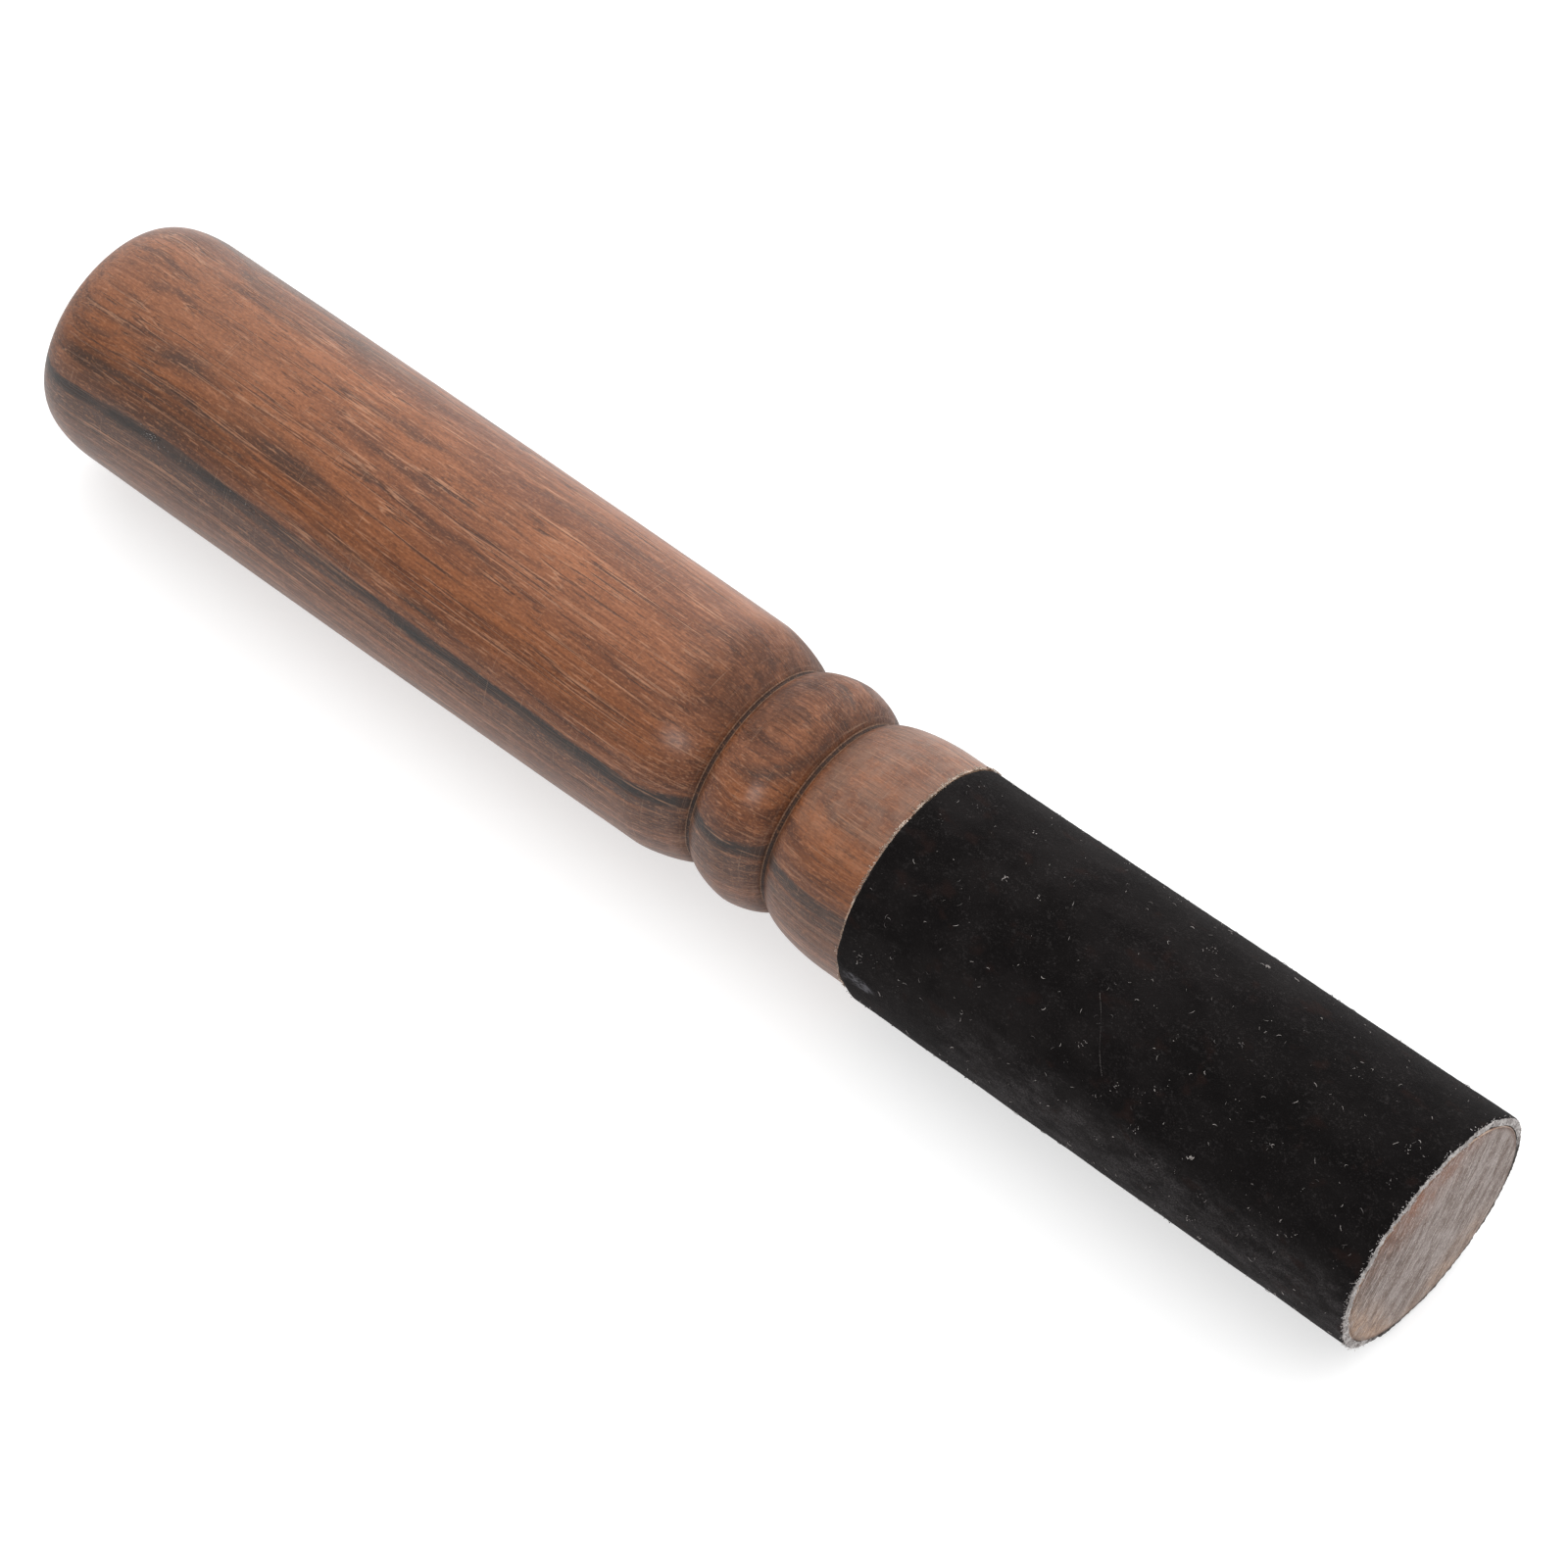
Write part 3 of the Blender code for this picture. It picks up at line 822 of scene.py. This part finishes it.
def tubes(name, strands, material):
    """One mesh of thin three-sided fibres, each a list of points and a radius."""
    verts, faces = [], []
    for points, radius in strands:
        start = len(verts)
        heading = (points[-1] - points[0]).normalized()
        side = heading.orthogonal().normalized()
        other = heading.cross(side)
        for i, point in enumerate(points):
            width = radius * (1.0 if 0 < i < len(points) - 1 else 0.55)
            for k in range(3):
                turn = FULL_TURN * k / 3
                verts.append(point + (side * math.cos(turn) + other * math.sin(turn)) * width)
        for i in range(len(points) - 1):
            for k in range(3):
                a, b = start + i * 3 + k, start + i * 3 + (k + 1) % 3
                faces.append((a, b, b + 3, a + 3))
        faces.append((start + 2, start + 1, start))
        last = start + (len(points) - 1) * 3
        faces.append((last, last + 1, last + 2))
    return mesh_piece(name, verts, faces, [material])


def on_wrap(x, angle, height):
    """A point on the nap, or a little above it."""
    radius = wrap_radius(x, angle) + height
    spot = direction(angle) * radius
    return Vector((slanted(x, radius, angle), spot.y, AXIS_Z + spot.z))


def end_fuzz(rng):
    """Pale fibres that stand out from the cut edge at the striking end."""
    strands = []
    for _ in range(2600):
        angle = FACING + rng.gauss(0.0, 1.15)
        if math.cos(angle - FACING) < rng.uniform(-0.45, 0.0):
            continue
        spot = direction(angle)
        if perlin.noise(Vector((2.0, spot.y * 11.0, spot.z * 11.0))) < rng.uniform(-0.6, 0.1):
            continue
        out = rng.random() ** 0.6
        radius = WRAP_RADIUS - WRAP_THICKNESS * (1.0 - out) - 0.03 * MM
        back = rng.uniform(0.0, 0.50) * MM * smoothstep(0.8, 1.0, out)
        x = trailing_edge(angle) - back
        base = Vector((slanted(x, radius, angle), 0.0, AXIS_Z)) + spot * radius
        lean = spot * rng.uniform(0.1, 1.0) * (0.3 + 0.7 * out) + Vector((rng.uniform(-0.7, 0.6), 0.0, 0.0))
        lean += Vector((0.0, rng.uniform(-0.6, 0.6), rng.uniform(-0.6, 0.6)))
        length = rng.uniform(0.12, 0.36) * MM * (1.7 if rng.random() < 0.06 else 1.0)
        middle = base + lean.normalized() * length * 0.5
        bent = lean + Vector((0.0, rng.uniform(-0.8, 0.8), rng.uniform(-0.8, 0.8)))
        tip = middle + bent.normalized() * length * 0.5
        strands.append(([base, middle, tip], rng.uniform(0.018, 0.040) * MM))
    return tubes("end_fuzz", strands, fibre("pale_end_fibre", (0.32, 0.29, 0.28), (0.68, 0.65, 0.64)))


def collar_fuzz(rng):
    """Pale fibres and glue dust caught along the wrap's leading edge, lying on the wood."""
    strands = []
    for _ in range(2600):
        angle = rng.uniform(0.0, FULL_TURN)
        spot = direction(angle)
        bare = -0.35 + 0.45 * smoothstep(0.0, 0.8, math.cos(angle - math.radians(110)))
        if perlin.noise(Vector((1.0, spot.y * 9.0, spot.z * 9.0))) < bare + rng.uniform(-0.2, 0.3):
            continue
        edge = leading_edge(angle)
        radius = COLLAR_RADIUS + rng.uniform(0.02, 0.10) * MM
        base = Vector((edge - abs(rng.gauss(0.02, 0.17)) * MM, 0.0, AXIS_Z)) + spot * radius
        heading = Vector((rng.uniform(-1.0, 1.0), 0.0, 0.0))
        heading += spot.cross(Vector((1.0, 0.0, 0.0))) * rng.uniform(-1.0, 1.0)
        length = rng.uniform(0.06, 0.26) * MM
        tip = base + heading.normalized() * length + spot * rng.uniform(0.0, 0.08) * MM
        strands.append(([base, (base + tip) / 2 + spot * 0.02 * MM, tip], rng.uniform(0.026, 0.068) * MM))
    return tubes("collar_fuzz", strands, fibre("pale_collar_fibre", (0.22, 0.15, 0.11), (0.64, 0.54, 0.46)))


def fleck(rng, base, size):
    """A grain of dust: a short thick strand that points anywhere."""
    turn = Vector((rng.uniform(-1, 1), rng.uniform(-1, 1), rng.uniform(-1, 1))).normalized()
    tip = base + turn * size
    return [base, (base + tip) / 2, tip], size * rng.uniform(0.30, 0.55)


def curled(rng, x, angle, length):
    """A fibre that lies curled on the nap."""
    heading = rng.uniform(0.0, FULL_TURN)
    curl = rng.uniform(-2.6, 2.6)
    steps = 5
    points = []
    for i in range(steps + 1):
        height = (0.03 + 0.06 * math.sin(math.pi * i / steps)) * MM
        points.append(on_wrap(x, angle, height))
        x += math.cos(heading) * length / steps
        angle += math.sin(heading) * length / steps / WRAP_RADIUS
        heading += curl / steps
    return points, rng.uniform(0.018, 0.042) * MM


# The largest tufts of lint: place along the stick (mm), angle from FACING in degrees, fibres
TUFTS = ((67.3, -64, 9), (72.5, -19, 8), (81.9, 8, 5), (75.0, 33, 8), (40.2, -20, 5))
# White dust in the grip's dark streak: place along the stick, spread (both mm), grains
STREAK_DUST = ((-77.9, 0.8, 80), (-59.2, 0.08, 4), (-67.0, 6.0, 22))
STREAK_ANGLE = math.radians(65.0)
HAIR_START = 56.8 * MM
HAIR_LENGTH = 5.3 * MM
HAIR_RADIUS = 0.008 * MM


def lint(rng):
    """Curled fibres, tufts and dust on the nap, dust in the dark streak, and one long hair."""
    strands = []
    for _ in range(500):
        angle = rng.uniform(0.0, FULL_TURN)
        x = rng.uniform(WRAP_START + 1.0 * MM, STRIKING_END - 1.0 * MM)
        strands.append(curled(rng, x, angle, rng.uniform(0.20, 0.75) * MM))
    for place, turn, count in TUFTS:
        for _ in range(count):
            x = (place + rng.gauss(0.0, 0.14)) * MM
            angle = FACING + math.radians(turn + rng.gauss(0.0, 0.6))
            points, radius = curled(rng, x, angle, rng.uniform(0.25, 0.55) * MM)
            strands.append((points, radius * 1.5))
    for _ in range(130):
        low = rng.random() < 0.6
        angle = rng.gauss(math.radians(100), 0.85) if low else rng.uniform(0.0, FULL_TURN)
        x = rng.uniform(WRAP_START + 1.5 * MM, STRIKING_END - 1.5 * MM)
        for _ in range(rng.randint(2, 8)):
            along, around = rng.gauss(0.0, 0.35) * MM, rng.gauss(0.0, 0.35) * MM / WRAP_RADIUS
            base = on_wrap(x + along, angle + around, 0.02 * MM)
            strands.append(fleck(rng, base, rng.uniform(0.05, 0.17) * MM))
    for _ in range(300):
        x = rng.uniform(WRAP_START, STRIKING_END - 0.5 * MM)
        base = on_wrap(x, rng.uniform(0.0, FULL_TURN), 0.02 * MM)
        strands.append(fleck(rng, base, rng.uniform(0.04, 0.12) * MM))
    for place, spread, count in STREAK_DUST:
        for _ in range(count):
            angle = STREAK_ANGLE + math.radians(rng.gauss(0.0, 1.5))
            x = (place + rng.gauss(0.0, spread)) * MM
            base = direction(angle) * (HANDLE_RADIUS + 0.01 * MM) + Vector((x, 0.0, AXIS_Z))
            strands.append(fleck(rng, base, rng.uniform(0.05, 0.14) * MM))
    points = []
    for i in range(19):
        share = i / 18
        bend = (0.10 * math.sin(math.pi * share) + 0.16 * math.sin(2.0 * math.pi * share)) * MM
        angle = FACING + math.radians(28.5 * share - 3.5)
        points.append(on_wrap(HAIR_START + HAIR_LENGTH * share + bend, angle, 0.03 * MM))
    strands.append((points, HAIR_RADIUS))
    return tubes("lint", strands, fibre("lint", (0.050, 0.044, 0.044), (0.36, 0.33, 0.315)))


# ---------------------------------------------------- stage, lights and camera

BRIGHT_SIDE = (-0.30, 0.80, 0.45)
CAMERA_DISTANCE = 0.6267
CAMERA_LENS = 128.8
CAMERA_AZIMUTH = math.radians(-49.1)
CAMERA_ELEVATION = math.radians(53.25)
CAMERA_AIM = Vector((7.0 * MM, 0.0, AXIS_Z))


def make_floor():
    g = Graph("pale_floor")
    g.set(Base_Color=(0.55, 0.55, 0.55, 1.0), Roughness=1.0, Specular_IOR_Level=0.0)
    g.set(Emission_Color=(1.0, 1.0, 1.0, 1.0), Emission_Strength=0.55)
    reach = 3.0
    corners = [(-reach, -reach), (reach, -reach), (reach, reach), (-reach, reach)]
    floor = mesh_piece("floor", [(x, y, -0.06 * MM) for x, y in corners], [(0, 1, 2, 3)], [g.material])


def area_light(name, place, aim, size, power, colour=(1.0, 1.0, 1.0)):
    light = bpy.data.lights.new(name, "AREA")
    light.shape = "DISK"
    light.size = size
    light.energy = power
    light.color = colour
    lamp = bpy.data.objects.new(name, light)
    lamp.location = place
    lamp.rotation_euler = (Vector(aim) - Vector(place)).to_track_quat("-Z", "Y").to_euler()
    bpy.context.scene.collection.objects.link(lamp)


def make_lights():
    """A soft white room, brightest behind the mallet, and one small panel in front."""
    world = bpy.data.worlds.new("white_room")
    world.use_nodes = True
    tree = world.node_tree
    place = tree.nodes.new("ShaderNodeTexCoord")
    towards = tree.nodes.new("ShaderNodeVectorMath")
    towards.operation = "DOT_PRODUCT"
    towards.inputs[1].default_value = Vector(BRIGHT_SIDE).normalized()
    level = tree.nodes.new("ShaderNodeMapRange")
    level.interpolation_type = "SMOOTHSTEP"
    for name, value in {"From Min": -0.55, "From Max": 0.85, "To Min": 0.22, "To Max": 2.05}.items():
        level.inputs[name].default_value = value
    tree.links.new(place.outputs["Generated"], towards.inputs[0])
    tree.links.new(towards.outputs["Value"], level.inputs["Value"])
    tree.links.new(level.outputs["Result"], tree.nodes["Background"].inputs["Strength"])
    tree.nodes["Background"].inputs["Color"].default_value = (1.0, 1.0, 1.0, 1.0)
    bpy.context.scene.world = world
    bpy.context.scene.view_settings.view_transform = "Standard"
    area_light("front_panel", (0.09, -0.84, 0.72), (0.0, 0.0, AXIS_Z), 0.24, 3.0)


def make_camera():
    flat, height = math.cos(CAMERA_ELEVATION), math.sin(CAMERA_ELEVATION)
    towards = Vector((flat * math.cos(CAMERA_AZIMUTH), flat * math.sin(CAMERA_AZIMUTH), height))
    camera = bpy.data.objects.new("camera", bpy.data.cameras.new("camera"))
    camera.data.lens = CAMERA_LENS
    camera.location = CAMERA_AIM + towards * CAMERA_DISTANCE
    camera.rotation_euler = (-towards).to_track_quat("-Z", "Y").to_euler()
    camera.data.clip_start = 0.01
    bpy.context.scene.collection.objects.link(camera)
    bpy.context.scene.camera = camera


# --------------------------------------------------------------------- assembly

def main():
    rng = random.Random(7)
    make_camera()
    make_lights()
    make_floor()

    wood = make_wood()
    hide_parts("turned_body")

    glue = make_glue()
    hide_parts("glue_film")

    wrap = make_wrap()
    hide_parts("suede_wrap")

    fuzz = [end_fuzz(rng), collar_fuzz(rng), lint(rng)]
    for piece in [wood, glue, wrap, *fuzz]:
        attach(piece, "root")


main()
